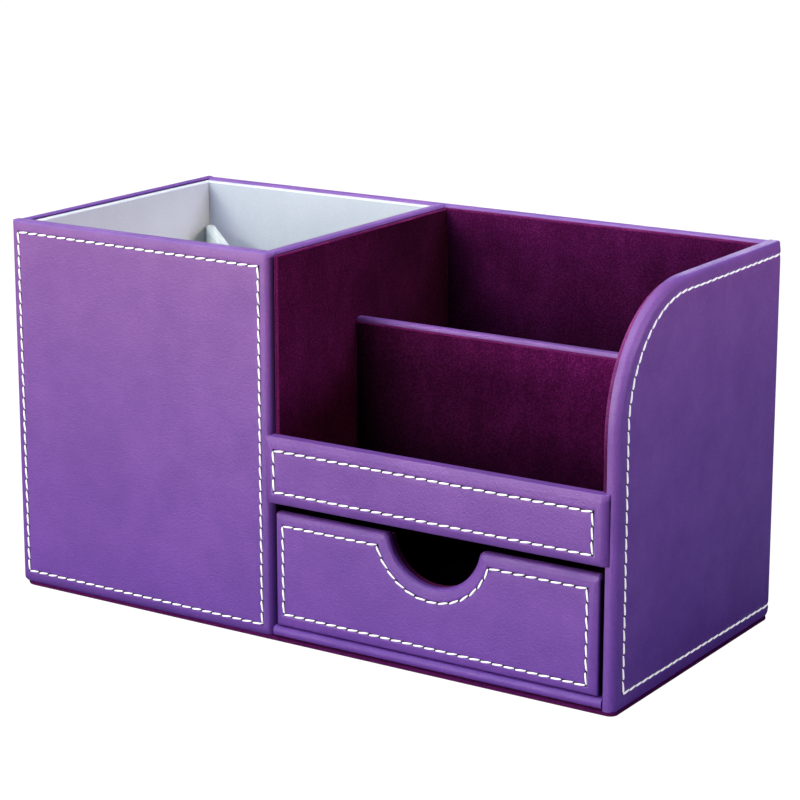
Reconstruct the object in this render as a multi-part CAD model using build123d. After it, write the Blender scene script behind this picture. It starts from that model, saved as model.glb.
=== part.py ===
from build123d import *
import os
from math import atan2, degrees, hypot

# Desk storage box: leather-wrapped boards, lined compartments and one drawer.
# Millimetres, X to the right along the front, the front towards -Y, Z up, origin under the middle of the box.

# Case, without the rail that stands proud of its front
width = 250.0
depth = 116.0
height = 138.0
pot_width = 115.0
corner_radius = 45.0

# Boards, leather and linings
wall_board = 3.0
base_board = 3.0
shelf_board = 3.0
leather = 0.6
lining = 2.6
felt = 1.2
bay_liner = 0.6

# Rounding of the boards under the leather, of the rims and of the linings
board_round = 1.0
rim_round_share = 0.9
lining_round = 0.8

# How far the leather is turned over the rims, into the bay and under the base
rim_return = 1.0
lining_setback = 1.2
bay_return = 12.0
turn_under = 8.0

# Felt under the base
felt_inset = 1.0
felt_corner = 4.0

# Shelf over the drawer, and the rail across the bay's front
shelf_height = 50.5
rail_height = 24.0
rail_proud = 2.0
rail_overlap = 1.6
rail_round_share = 0.8

# Divider of the bay
divider_height = 107.0
divider_setback = 51.8
divider_board = 2.3
divider_lining = 1.6
divider_return = 1.5

# Diagonal divider of the pen pot
pot_divider_height = 120.0
pot_divider_thickness = 3.2
pot_divider_round = 1.2
pot_divider_gap = 0.2

# Drawer
drawer_top = 47.0
drawer_wall_top = 43.0
drawer_board = 2.5
drawer_lining = 1.2
drawer_side_gap = 1.0
drawer_lift = 0.3
drawer_stop_gap = 0.3
strip_width = 6.0

# Half-round finger notch in the drawer front
notch_radius = 18.3
notch_depth = 16.0
notch_lip_round = 2.0
notch_lining_step = 0.3

# How near a vertex lies to the plane that its edge is picked by
pick = 0.01

# Outer planes and the wrapped wall
back_y = (depth + rail_proud) / 2
front_y = back_y - depth
left_x = -width / 2
right_x = width / 2
pot_right_x = left_x + pot_width
shell = leather + wall_board + leather
edge_round = board_round + leather
rim_round = rim_return * rim_round_share

# Levels
base_bottom = felt + leather
base_top = base_bottom + base_board
strip_top = base_top + leather
bay_floor = base_top + bay_liner
under_z = (felt, base_bottom)
board_z = (base_top, height - leather)
rim_z = (height - rim_return, height)
shelf_z = (shelf_height, shelf_height + shelf_board)
rail_z = (shelf_height, shelf_height + rail_height)

# Spans of the boards
left_board_x = (left_x + leather, left_x + leather + wall_board)
right_board_x = (right_x - leather - wall_board, right_x - leather)
partition_board_x = (pot_right_x - leather - wall_board, pot_right_x - leather)
front_board_y = (front_y + leather, front_y + leather + wall_board)
back_board_y = (back_y - leather - wall_board, back_y - leather)
boards_x = (left_board_x[0], right_board_x[1])
between_boards_y = (front_board_y[1], back_board_y[0])

# Spans of the linings and of the room inside them
pot_x = (left_board_x[1] + lining, partition_board_x[0] - lining)
pot_y = (front_board_y[1] + lining, back_board_y[0] - lining)
pot_wall_z = (base_top, rim_z[0])
pot_floor = base_top + lining
bay_x = (partition_board_x[1] + lining, right_board_x[0] - lining)
bay_wall_z = (shelf_z[1], rim_z[0])
bay_lining_y = (front_y + lining_setback, back_board_y[0])
tray_floor_z = (shelf_z[1], shelf_z[1] + lining)

# Rail, from its proud front to the lining behind it
rail_y = (front_y - rail_proud, front_y - rail_proud + shell)
rail_x = (pot_right_x - rail_overlap, right_x - shell + rail_overlap)
rail_round = min(edge_round, rail_proud * rail_round_share)
rail_lining_y = (rail_y[1], rail_y[1] + lining)

# Divider of the bay, from its front lining to its rear lining
divider_y = front_y + divider_setback
divider_board_y = (divider_y - divider_board / 2, divider_y + divider_board / 2)
divider_cap_y = (divider_board_y[0] - leather, divider_board_y[1] + leather)
divider_front_y = (divider_board_y[0] - divider_lining, divider_board_y[0])
divider_rear_y = (divider_board_y[1], divider_board_y[1] + divider_lining)
divider_lining_z = (shelf_z[1], divider_height - divider_return)

# Drawer, from its wrapped front to its back
drawer_x = (pot_right_x + drawer_side_gap, right_x - shell - drawer_side_gap)
drawer_z = (max(strip_top, bay_floor) + drawer_lift, drawer_top)
drawer_middle = (drawer_x[0] + drawer_x[1]) / 2
box_x = (drawer_x[0] + leather, drawer_x[1] - leather)
box_y = (front_board_y[1], back_board_y[0] - drawer_stop_gap)
box_wall_z = (drawer_z[0] + drawer_board, drawer_wall_top)
inner_x = (box_x[0] + drawer_board, box_x[1] - drawer_board)
inner_y = (box_y[0] + lining, box_y[1] - drawer_board)
inner_wall_z = (box_wall_z[0] + drawer_lining, drawer_wall_top)
notch_centre_z = drawer_top - notch_depth + notch_radius


def block(x, y, z):
    """A box between two values along each axis."""
    low = Align.MIN
    return Pos(x[0], y[0], z[0]) * Box(x[1] - x[0], y[1] - y[0], z[1] - z[0], align=(low, low, low))


def edges_at(solid, x=None, y=None, z=None):
    """The edges whose ends all lie on the given planes."""
    planes = [("X", x), ("Y", y), ("Z", z)]
    wanted = [(axis, value) for axis, value in planes if value is not None]
    found = ShapeList()
    for edge in solid.edges():
        ends = edge.vertices()
        if all(abs(getattr(end, axis) - value) < pick for end in ends for axis, value in wanted):
            found.append(edge)
    return found


def side_panel(x, inset, back, bottom):
    """A slice of the right side, with its rounded front corner, between two X planes."""
    front = front_y + inset
    top = height - inset
    bend = corner_radius - inset
    centre = (front + bend, top - bend)
    outline = [
        Line((front, bottom), (front, centre[1])),
        CenterArc(centre, bend, 180, -90),
        Line((centre[0], top), (back, top)),
        Line((back, top), (back, bottom)),
        Line((back, bottom), (front, bottom)),
    ]
    return extrude(Plane.YZ.offset(x[0]) * make_face(outline), x[1] - x[0])


def drawer_panel(inset, y):
    """The drawer front's outline with the finger notch in its top, between two Y planes."""
    x = (drawer_x[0] + inset, drawer_x[1] - inset)
    z = (drawer_z[0] + inset, drawer_z[1] - inset)
    plate = Pos((x[0] + x[1]) / 2, (z[0] + z[1]) / 2) * Rectangle(x[1] - x[0], z[1] - z[0])
    plate -= Pos(drawer_middle, notch_centre_z) * Circle(notch_radius + inset)
    inside = (drawer_middle - notch_radius - inset, drawer_middle + notch_radius + inset)
    lips = plate.vertices().filter_by(lambda corner: inside[0] < corner.X < inside[1])
    plate = fillet(lips, notch_lip_round - inset)
    return extrude(Plane.XZ.offset(-y[1]) * plate, y[1] - y[0])


# Boards of the case

def make_base_board():
    return block(boards_x, (front_board_y[0], back_board_y[1]), (base_bottom, base_top))


def make_back_board():
    board = block(boards_x, back_board_y, board_z)
    rear = back_board_y[1]
    uprights = edges_at(board, x=boards_x[0], y=rear) + edges_at(board, x=boards_x[1], y=rear)
    return fillet(uprights, board_round)


def make_left_side_board():
    return block(left_board_x, between_boards_y, board_z)


def make_right_side_board():
    return side_panel(right_board_x, leather, back_board_y[0], base_top)


def make_pot_front_board():
    x = (left_board_x[0], partition_board_x[1])
    board = block(x, front_board_y, board_z)
    uprights = edges_at(board, x=x[0], y=front_board_y[0]) + edges_at(board, x=x[1], y=front_board_y[0])
    return fillet(uprights, board_round)


def make_partition_board():
    return block(partition_board_x, between_boards_y, board_z)


def make_shelf_board():
    return block((partition_board_x[1], right_board_x[0]), (rail_y[1], back_board_y[0]), shelf_z)


def make_rail_board():
    y = (rail_y[0] + leather, rail_y[1] - leather)
    z = (rail_z[0] + leather, rail_z[1] - leather)
    board = block(bay_x, y, z)
    return fillet(edges_at(board, y=y[0], z=z[0]) + edges_at(board, y=y[0], z=z[1]), board_round)


def make_divider_board():
    return block(bay_x, divider_board_y, (shelf_z[1], divider_height - leather))


# Linings of the pen pot

def make_pot_front_lining():
    panel = block((left_board_x[1], partition_board_x[0]), (front_board_y[1], pot_y[0]), pot_wall_z)
    return fillet(edges_at(panel, y=pot_y[0], z=pot_wall_z[1]), lining_round)


def make_pot_back_lining():
    panel = block((left_board_x[1], partition_board_x[0]), (pot_y[1], back_board_y[0]), pot_wall_z)
    return fillet(edges_at(panel, y=pot_y[1], z=pot_wall_z[1]), lining_round)


def make_pot_left_lining():
    panel = block((left_board_x[1], pot_x[0]), pot_y, pot_wall_z)
    return fillet(edges_at(panel, x=pot_x[0], z=pot_wall_z[1]), lining_round)


def make_pot_right_lining():
    panel = block((pot_x[1], partition_board_x[0]), pot_y, pot_wall_z)
    return fillet(edges_at(panel, x=pot_x[1], z=pot_wall_z[1]), lining_round)


def make_pot_floor_lining():
    return block(pot_x, pot_y, (base_top, pot_floor))


def make_pot_divider():
    """A padded board with round ends, wedged from the back left corner to the front right one."""
    reach = pot_divider_thickness / 2 + pot_divider_gap
    run = pot_x[1] - pot_x[0] - 2 * reach
    rise = pot_y[0] - pot_y[1] + 2 * reach
    plan = SlotCenterToCenter(hypot(run, rise), pot_divider_thickness, rotation=degrees(atan2(rise, run)))
    middle = Pos((pot_x[0] + pot_x[1]) / 2, (pot_y[0] + pot_y[1]) / 2, pot_floor)
    board = extrude(middle * plan, pot_divider_height - pot_floor)
    return fillet(edges_at(board, z=pot_divider_height), pot_divider_round)


# Linings of the bay

def make_partition_lining():
    panel = block((partition_board_x[1], bay_x[0]), bay_lining_y, bay_wall_z)
    shown = edges_at(panel, x=bay_x[0], z=bay_wall_z[1]) + edges_at(panel, x=bay_x[0], y=bay_lining_y[0])
    return fillet(shown, lining_round)


def make_back_lining():
    panel = block(bay_x, (pot_y[1], back_board_y[0]), bay_wall_z)
    return fillet(edges_at(panel, y=pot_y[1], z=bay_wall_z[1]), lining_round)


def make_right_side_lining():
    """The curved lining, cut back evenly from the side panel's front, bend and top."""
    panel = side_panel((bay_x[1], right_board_x[0]), lining_setback, back_board_y[0], shelf_z[1])
    rear = edges_at(panel, x=bay_x[1], y=back_board_y[0])
    foot = edges_at(panel, x=bay_x[1], z=shelf_z[1])
    shown = [edge for edge in edges_at(panel, x=bay_x[1]) if edge not in rear + foot]
    return fillet(shown, lining_round)


def make_rail_lining():
    panel = block(bay_x, rail_lining_y, (shelf_z[1], rail_z[1] - rim_return))
    return fillet(edges_at(panel, y=rail_lining_y[1], z=rail_z[1] - rim_return), lining_round)


def make_front_floor_lining():
    return block(bay_x, (rail_lining_y[1], divider_front_y[0]), tray_floor_z)


def make_rear_floor_lining():
    return block(bay_x, (divider_rear_y[1], pot_y[1]), tray_floor_z)


def make_divider_front_lining():
    panel = block(bay_x, divider_front_y, divider_lining_z)
    return fillet(edges_at(panel, y=divider_front_y[0], z=divider_lining_z[1]), lining_round)


def make_divider_rear_lining():
    panel = block(bay_x, divider_rear_y, divider_lining_z)
    return fillet(edges_at(panel, y=divider_rear_y[1], z=divider_lining_z[1]), lining_round)


# Leather of the case

def make_outer_wrap():
    """One sheet round the left side, the back and the right side, turned over the rims and under the base."""
    inside_x = (left_x + shell, right_x - shell)
    inside_y = (front_y + shell, back_y - shell)
    sheet = block((left_x, inside_x[0]), (inside_y[0], back_y), (felt, height))
    sheet += block((left_x, right_x), (inside_y[1], back_y), (felt, height))
    sheet += side_panel((inside_x[1], right_x), 0, back_y, felt)
    sheet = fillet(edges_at(sheet, x=left_x, y=back_y) + edges_at(sheet, x=right_x, y=back_y), edge_round)
    outer = edges_at(sheet, x=left_x) + edges_at(sheet, y=back_y) + edges_at(sheet, x=right_x)
    inner = edges_at(sheet, x=inside_x[0], z=height) + edges_at(sheet, y=inside_y[1], z=height)
    inner += edges_at(sheet, x=inside_x[1], z=height)
    rims = (outer + inner).filter_by(Axis.Z, reverse=True) + edges_at(sheet, x=right_x, y=front_y)
    sheet = fillet(rims, rim_round)
    rear = back_y - leather
    sheet += block((left_x + leather, left_x + turn_under), (front_y + turn_under, rear), under_z)
    sheet += block((left_x + leather, right_x - leather), (back_y - turn_under, rear), under_z)
    sheet += block((right_x - turn_under, right_x - leather), (front_y + turn_under, rear), under_z)
    sheet -= block((left_x + leather, inside_x[1]), between_boards_y, (base_bottom, rim_z[0]))
    lined = (inside_x[1], right_board_x[0])
    sheet -= side_panel(lined, lining_setback, back_board_y[0], shelf_z[0])
    sheet -= block(lined, (front_y + bay_return, back_board_y[0]), (base_bottom, shelf_z[0]))
    sheet -= [make_base_board(), make_back_board(), make_left_side_board(), make_right_side_board()]
    return sheet - make_partition_board()


def make_pot_front_cover():
    """The sheet on the pen pot's front, wrapped round both corners, over the rim and under the base."""
    inside_y = front_y + shell
    bay_side = (partition_board_x[1], pot_right_x)
    pot_inside = (left_board_x[1], partition_board_x[0])
    sheet = block((left_x, pot_right_x), (front_y, inside_y), (felt, height))
    uprights = edges_at(sheet, x=left_x, y=front_y) + edges_at(sheet, x=pot_right_x, y=front_y)
    sheet = fillet(uprights, edge_round)
    sheet = fillet(edges_at(sheet, y=front_y, z=height) + edges_at(sheet, y=front_y, z=felt), rim_round)
    sheet += block((left_x + shell, pot_right_x), (front_y + leather, front_y + turn_under), under_z)
    sheet += block(bay_side, (inside_y, front_y + bay_return), (base_top, shelf_z[0]))
    sheet -= block(pot_inside, (front_board_y[1], inside_y), (base_bottom, rim_z[0]))
    sheet -= block(bay_side, (bay_lining_y[0], inside_y), (shelf_z[0], rim_z[0]))
    return sheet - [make_base_board(), make_pot_front_board(), make_left_side_board(), make_partition_board()]


def make_partition_cap():
    """The strip over the partition's rim, between the front and the back."""
    cap = block((pot_right_x - shell, pot_right_x), (front_y + shell, back_y - shell), rim_z)
    rims = edges_at(cap, x=pot_right_x - shell, z=height) + edges_at(cap, x=pot_right_x, z=height)
    return fillet(rims, rim_round) - make_partition_board()


def make_rail_cover():
    """The padded sheet round the rail, whose ends lap over the walls beside it."""
    cover = block(rail_x, (rail_y[0], front_y), rail_z)
    cover += block((pot_right_x, right_x - shell), (front_y, bay_lining_y[0]), rail_z)
    cover += block(bay_x, (bay_lining_y[0], rail_y[1]), rail_z)
    cover = fillet(cover.faces().sort_by(Axis.Y)[0].edges(), rail_round)
    cover = fillet(edges_at(cover, y=rail_y[1], z=rail_z[1]), rim_round)
    return cover - make_rail_board()


def make_divider_cap():
    """The strip over the divider's rim."""
    cap = block(bay_x, divider_cap_y, (divider_lining_z[1], divider_height))
    rims = edges_at(cap, y=divider_cap_y[0], z=divider_height)
    rims += edges_at(cap, y=divider_cap_y[1], z=divider_height)
    return fillet(rims, rim_round) - make_divider_board()


def make_base_front_strip():
    """The strip round the base's front edge under the drawer."""
    x = (pot_right_x, right_x - shell)
    strip = block(x, (front_y, front_y + strip_width), (felt, strip_top))
    strip = fillet(edges_at(strip, y=front_y, z=strip_top) + edges_at(strip, y=front_y, z=felt), rim_round)
    strip += block(x, (front_y + leather, front_y + turn_under), under_z)
    return strip - make_base_board()


def make_base_felt():
    """The sheet that the box stands on, cut back from its edges."""
    x = (left_x + felt_inset, right_x - felt_inset)
    y = (front_y + felt_inset, back_y - felt_inset)
    sheet = block(x, y, (0, felt))
    return fillet(sheet.edges().filter_by(Axis.Z), felt_corner)


def make_drawer_bay_liner():
    """The thin sheet on the base that the drawer slides on."""
    y = (front_y + strip_width, back_board_y[0])
    return block((pot_right_x, right_x - shell), y, (base_top, bay_floor))


# Drawer

def make_drawer_front_board():
    """The notched board in the drawer front, rounded towards the front."""
    board = drawer_panel(leather, (front_board_y[0], box_y[0]))
    return fillet(board.faces().sort_by(Axis.Y)[0].edges(), board_round)


def make_drawer_front_cover():
    """The sheet on the drawer front, wrapped round its edges and through the notch."""
    cover = drawer_panel(0, (front_y, box_y[0]))
    cover = fillet(cover.faces().sort_by(Axis.Y)[0].edges(), edge_round)
    return cover - make_drawer_front_board()


def make_drawer_side(x):
    return block(x, box_y, box_wall_z)


def make_drawer_left_side():
    return make_drawer_side((box_x[0], inner_x[0]))


def make_drawer_right_side():
    return make_drawer_side((inner_x[1], box_x[1]))


def make_drawer_back():
    return block(inner_x, (inner_y[1], box_y[1]), box_wall_z)


def make_drawer_bottom():
    return block(box_x, box_y, (drawer_z[0], box_wall_z[0]))


def make_drawer_front_lining():
    """The lining behind the drawer front, with the notch cut a little wider than the leather's."""
    panel = drawer_panel(notch_lining_step, (box_y[0], inner_y[0]))
    return panel & block(inner_x, (box_y[0], inner_y[0]), (box_wall_z[0], drawer_top - rim_return))


def make_drawer_floor_lining():
    return block(inner_x, inner_y, (box_wall_z[0], inner_wall_z[0]))


def make_drawer_back_lining():
    return block(inner_x, (inner_y[1] - drawer_lining, inner_y[1]), inner_wall_z)


def make_drawer_side_lining(x):
    return block(x, (inner_y[0], inner_y[1] - drawer_lining), inner_wall_z)


def make_drawer_left_lining():
    return make_drawer_side_lining((inner_x[0], inner_x[0] + drawer_lining))


def make_drawer_right_lining():
    return make_drawer_side_lining((inner_x[1] - drawer_lining, inner_x[1]))


MAKERS = {
    "base_board": make_base_board,
    "back_board": make_back_board,
    "left_side_board": make_left_side_board,
    "right_side_board": make_right_side_board,
    "pot_front_board": make_pot_front_board,
    "partition_board": make_partition_board,
    "shelf_board": make_shelf_board,
    "rail_board": make_rail_board,
    "divider_board": make_divider_board,
    "pot_front_lining": make_pot_front_lining,
    "pot_back_lining": make_pot_back_lining,
    "pot_left_lining": make_pot_left_lining,
    "pot_right_lining": make_pot_right_lining,
    "pot_floor_lining": make_pot_floor_lining,
    "pot_divider": make_pot_divider,
    "partition_lining": make_partition_lining,
    "back_lining": make_back_lining,
    "right_side_lining": make_right_side_lining,
    "rail_lining": make_rail_lining,
    "front_floor_lining": make_front_floor_lining,
    "rear_floor_lining": make_rear_floor_lining,
    "divider_front_lining": make_divider_front_lining,
    "divider_rear_lining": make_divider_rear_lining,
    "outer_wrap": make_outer_wrap,
    "pot_front_cover": make_pot_front_cover,
    "partition_cap": make_partition_cap,
    "rail_cover": make_rail_cover,
    "divider_cap": make_divider_cap,
    "base_front_strip": make_base_front_strip,
    "base_felt": make_base_felt,
    "drawer_bay_liner": make_drawer_bay_liner,
    "drawer_front_board": make_drawer_front_board,
    "drawer_front_cover": make_drawer_front_cover,
    "drawer_left_side": make_drawer_left_side,
    "drawer_right_side": make_drawer_right_side,
    "drawer_back": make_drawer_back,
    "drawer_bottom": make_drawer_bottom,
    "drawer_front_lining": make_drawer_front_lining,
    "drawer_floor_lining": make_drawer_floor_lining,
    "drawer_back_lining": make_drawer_back_lining,
    "drawer_left_lining": make_drawer_left_lining,
    "drawer_right_lining": make_drawer_right_lining,
}

os.makedirs("parts", exist_ok=True)
for name, maker in MAKERS.items():
    export_step(maker(), f"parts/{name}.step")
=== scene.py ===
import math
import random

import bmesh
import bpy
from mathutils import Matrix, Vector


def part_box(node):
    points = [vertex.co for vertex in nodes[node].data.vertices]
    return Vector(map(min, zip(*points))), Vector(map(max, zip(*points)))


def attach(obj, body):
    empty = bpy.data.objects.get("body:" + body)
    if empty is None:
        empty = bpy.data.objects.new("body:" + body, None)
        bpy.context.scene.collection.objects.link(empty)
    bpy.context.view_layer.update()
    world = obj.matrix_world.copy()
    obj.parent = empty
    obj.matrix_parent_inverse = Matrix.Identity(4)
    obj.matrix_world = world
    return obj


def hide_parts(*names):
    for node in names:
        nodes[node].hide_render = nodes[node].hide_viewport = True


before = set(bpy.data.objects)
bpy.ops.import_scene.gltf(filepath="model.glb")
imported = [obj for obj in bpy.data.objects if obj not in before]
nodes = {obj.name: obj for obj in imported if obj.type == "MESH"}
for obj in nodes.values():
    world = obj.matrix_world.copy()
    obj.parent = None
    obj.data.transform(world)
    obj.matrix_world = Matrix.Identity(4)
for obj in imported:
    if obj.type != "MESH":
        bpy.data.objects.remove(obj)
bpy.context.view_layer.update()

mm = 0.001
touch = 0.001 * mm
planeGap = 0.0001 * mm
mergeGap = 0.04 * mm
creaseAngle = math.radians(42)
threadAngle = math.radians(80)
dice = random.Random(11)
print("frame loaded:", len(nodes), "solids")


# where the wrapped walls stand, read from the frame
wrapLo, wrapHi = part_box("outer_wrap")
potLo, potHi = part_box("pot_front_cover")
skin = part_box("pot_front_board")[0].y - potLo.y
walls = {
    "front": potLo.y,
    "back": wrapHi.y,
    "left": wrapLo.x,
    "right": wrapHi.x,
    "bottom": wrapLo.z,
    "top": wrapHi.z,
    "potBack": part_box("pot_front_board")[1].y + skin,
    "bayEdge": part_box("partition_board")[1].x + skin,
    "potEdge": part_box("partition_board")[0].x - skin,
    "leftInner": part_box("left_side_board")[1].x + skin,
    "rightInner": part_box("right_side_board")[0].x - skin,
    "backInner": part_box("back_board")[0].y - skin,
}


# flat panel spaces: u runs right, v up and n out of the panel
def frontPanel(y):
    return Matrix(((1, 0, 0, 0), (0, 0, -1, y), (0, 1, 0, 0), (0, 0, 0, 1)))


def rightPanel(x):
    return Matrix(((0, 0, 1, x), (1, 0, 0, 0), (0, 1, 0, 0), (0, 0, 0, 1)))


def leftPanel(x):
    return Matrix(((0, 0, -1, x), (-1, 0, 0, 0), (0, 1, 0, 0), (0, 0, 0, 1)))


def backPanel(y):
    return Matrix(((-1, 0, 0, 0), (0, 0, 1, y), (0, 1, 0, 0), (0, 0, 0, 1)))


# shader helpers
def addNode(tree, kind, settings=None, sockets=None):
    node = tree.nodes.new("ShaderNode" + kind)
    for key, value in (settings or {}).items():
        setattr(node, key, value)
    for key, value in (sockets or {}).items():
        node.inputs[key].default_value = value
    return node


def feed(tree, value, socket):
    if isinstance(value, (int, float)):
        socket.default_value = value
    else:
        tree.links.new(value, socket)


def objectMapping(tree, scale=(1.0, 1.0, 1.0)):
    where = addNode(tree, "TexCoord")
    mapping = addNode(tree, "Mapping", sockets={"Scale": scale})
    tree.links.new(where.outputs["Object"], mapping.inputs["Vector"])
    return mapping.outputs["Vector"]


def noiseOf(tree, vector, scale, sockets):
    noise = addNode(tree, "TexNoise", sockets=sockets)
    tree.links.new(vector, noise.inputs["Vector"])
    feed(tree, scale, noise.inputs["Scale"])
    return noise.outputs["Fac"]


def mathOf(tree, operation, first, second):
    node = addNode(tree, "Math", {"operation": operation})
    for socket, value in zip(node.inputs, (first, second)):
        feed(tree, value, socket)
    return node.outputs["Value"]


# sum of values, each times its share
def blendOf(tree, *parts):
    first, *others = [mathOf(tree, "MULTIPLY", value, share) for value, share in parts]
    for other in others:
        first = mathOf(tree, "ADD", first, other)
    return first


def rangeOf(tree, value, low, high, newLow, newHigh):
    node = addNode(tree, "MapRange", sockets={
        "From Min": low, "From Max": high, "To Min": newLow, "To Max": newHigh})
    tree.links.new(value, node.inputs["Value"])
    return node.outputs["Result"]


def rampOf(tree, value, stops):
    ramp = addNode(tree, "ValToRGB")
    tree.links.new(value, ramp.inputs["Fac"])
    elements = ramp.color_ramp.elements
    while len(elements) < len(stops):
        elements.new(0.5)
    for element, (place, colour) in zip(elements, stops):
        element.position = place
        element.color = (*colour, 1.0)
    return ramp.outputs["Color"]


def toneRamp(tree, tone, look, spread):
    stops = ((0.5 - spread, look["low"]), (0.5, look["mid"]), (0.5 + spread, look["high"]))
    return rampOf(tree, tone, stops)


def productOf(tree, first, second):
    node = addNode(tree, "Mix", {"data_type": "RGBA", "blend_type": "MULTIPLY"})
    node.inputs["Factor"].default_value = 1.0
    colours = [socket for socket in node.inputs if socket.type == "RGBA"]
    tree.links.new(first, colours[0])
    tree.links.new(second, colours[1])
    return next(socket for socket in node.outputs if socket.type == "RGBA")


def newGroup(name, inputs):
    tree = bpy.data.node_groups.new(name, "ShaderNodeTree")
    for direction, labels in (("INPUT", inputs), ("OUTPUT", ("Height", "Tone"))):
        for label in labels:
            tree.interface.new_socket(label, in_out=direction, socket_type="NodeSocketFloat")
    return tree, tree.nodes.new("NodeGroupInput"), tree.nodes.new("NodeGroupOutput")


def useGroup(tree, group, values):
    return addNode(tree, "Group", {"node_tree": group}, values)


# pebbled grain of the coated leather, with short level creases
def makeGrainGroup():
    tree, inside, outside = newGroup("leatherGrain", ("Pebbles", "Creases", "Patches"))
    plain = objectMapping(tree)
    level = objectMapping(tree, (0.65, 0.65, 1.0))
    pebble = addNode(tree, "TexVoronoi", {"feature": "SMOOTH_F1"}, {"Smoothness": 0.5})
    tree.links.new(plain, pebble.inputs["Vector"])
    tree.links.new(inside.outputs["Pebbles"], pebble.inputs["Scale"])
    crease = noiseOf(tree, level, inside.outputs["Creases"], {"Detail": 3.0, "Distortion": 0.6})
    patch = noiseOf(tree, plain, inside.outputs["Patches"], {"Detail": 4.0, "Roughness": 0.6})
    height = blendOf(tree, (pebble.outputs["Distance"], -0.6), (crease, 0.9))
    tree.links.new(height, outside.inputs["Height"])
    tree.links.new(blendOf(tree, (crease, 0.35), (patch, 0.65)), outside.inputs["Tone"])
    return tree


# pile of velvet, velour and felt: single tufts, brushed streaks and leaning patches
def makeNapGroup():
    tree, inside, outside = newGroup("napPile", ("Tufts", "Brushing", "Patches"))
    plain = objectMapping(tree)
    upright = objectMapping(tree, (1.0, 1.0, 0.3))
    tuft = noiseOf(tree, plain, inside.outputs["Tufts"], {"Detail": 2.0, "Roughness": 0.7})
    streak = noiseOf(tree, upright, inside.outputs["Brushing"], {"Detail": 3.0, "Distortion": 0.8})
    patch = noiseOf(tree, plain, inside.outputs["Patches"], {"Detail": 3.0, "Distortion": 0.5})
    tree.links.new(tuft, outside.inputs["Height"])
    tone = blendOf(tree, (patch, 0.25), (streak, 0.15), (tuft, 0.6))
    tree.links.new(tone, outside.inputs["Tone"])
    return tree


def newMaterial(name, constants):
    material = bpy.data.materials.new(name)
    material.use_nodes = True
    tree = material.node_tree
    shader = tree.nodes["Principled BSDF"]
    for label, value in constants.items():
        shader.inputs[label].default_value = value
    return material, tree, shader


def colourFrom(tree, shader, colour, tone, matt, gloss):
    tree.links.new(colour, shader.inputs["Base Color"])
    tree.links.new(rangeOf(tree, tone, 0.3, 0.7, matt, gloss), shader.inputs["Roughness"])


def bumpFrom(tree, shader, height, strength, distance):
    bump = addNode(tree, "Bump", sockets={"Strength": strength, "Distance": distance})
    tree.links.new(height, bump.inputs["Height"])
    tree.links.new(bump.outputs["Normal"], shader.inputs["Normal"])


# painted light and shade: colour casts that change along the box, each given as axis, start, end and the cast
# at either place
def paintLightAlong(tree, colour, paintedLight):
    for axis, start, end, first, last in paintedLight:
        where = addNode(tree, "SeparateXYZ")
        tree.links.new(objectMapping(tree), where.inputs["Vector"])
        share = rangeOf(tree, where.outputs[axis], start, end, 0.0, 1.0)
        colour = productOf(tree, colour, rampOf(tree, share, ((0.0, first), (1.0, last))))
    return colour


grainGroup = makeGrainGroup()
napGroup = makeNapGroup()

top = walls["top"]
bayFoot = 62.0 * mm
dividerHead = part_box("divider_front_lining")[1].z
leatherLook = {
    "low": (0.192, 0.068, 0.365), "mid": (0.220, 0.080, 0.398), "high": (0.254, 0.094, 0.436),
    # painted light: warmer and lighter towards the top, bluer and darker towards the foot, and a bluish
    # painted highlight along the top rim
    "paintedLight": (("Z", 0.0, top, (0.86, 0.73, 1.12), (1.15, 1.15, 0.93)),
              ("Z", top - 1.4 * mm, top - 0.6 * mm, (1.0, 1.0, 1.0), (0.96, 1.10, 1.16))),
    # painted shade: the fold colour darkens turned edges and margins, the gap colour is a near-black painted
    # shadow in the gaps
    "paintedFoldShade": (0.42, 0.28, 0.52), "gap": (0.03, 0.02, 0.04),
    "gloss": 0.40, "matt": 0.56, "bump": 0.55, "depth": 0.22 * mm,
}
velvetLook = {
    "low": (0.028, 0.0012, 0.019), "mid": (0.050, 0.0026, 0.035), "high": (0.100, 0.0068, 0.071),
    # painted shade: darker towards the floor of the bay, lighter towards the top
    "paintedLight": (("Z", bayFoot, top, (0.48, 0.48, 0.48), (1.25, 1.30, 1.25)),),
}
# painted light and shade on the side-facing velvet: lighter towards the foot, darker towards the rear
partitionPaintedLight = (
    ("Z", bayFoot, top, (1.30, 1.55, 1.15), (1.00, 1.14, 0.82)),
    ("Y", walls["front"], 28.0 * mm, (1.12, 1.12, 1.12), (0.48, 0.54, 0.42)),
)
# painted light and shade on the divider's velvet: darker at its left where the partition's shadow falls,
# lighter to the right and near its head
dividerPaintedLight = (
    *velvetLook["paintedLight"],
    ("X", walls["bayEdge"], walls["rightInner"], (0.50, 0.52, 0.42), (1.85, 1.65, 2.00)),
    ("Z", dividerHead - 13.0 * mm, dividerHead - 1.0 * mm, (0.90, 0.90, 0.90), (1.35, 1.45, 1.30)),
)
# painted light and shade on the back wall's velvet: darker to the right and towards the bay floor, lighter
# near the top
backPaintedLight = (
    *velvetLook["paintedLight"],
    ("X", walls["bayEdge"], walls["rightInner"], (1.00, 1.15, 1.12), (0.76, 0.85, 0.90)),
    ("Z", top - 14.0 * mm, top - 2.0 * mm, (0.94, 0.94, 0.94), (1.30, 1.35, 1.25)),
)
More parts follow.
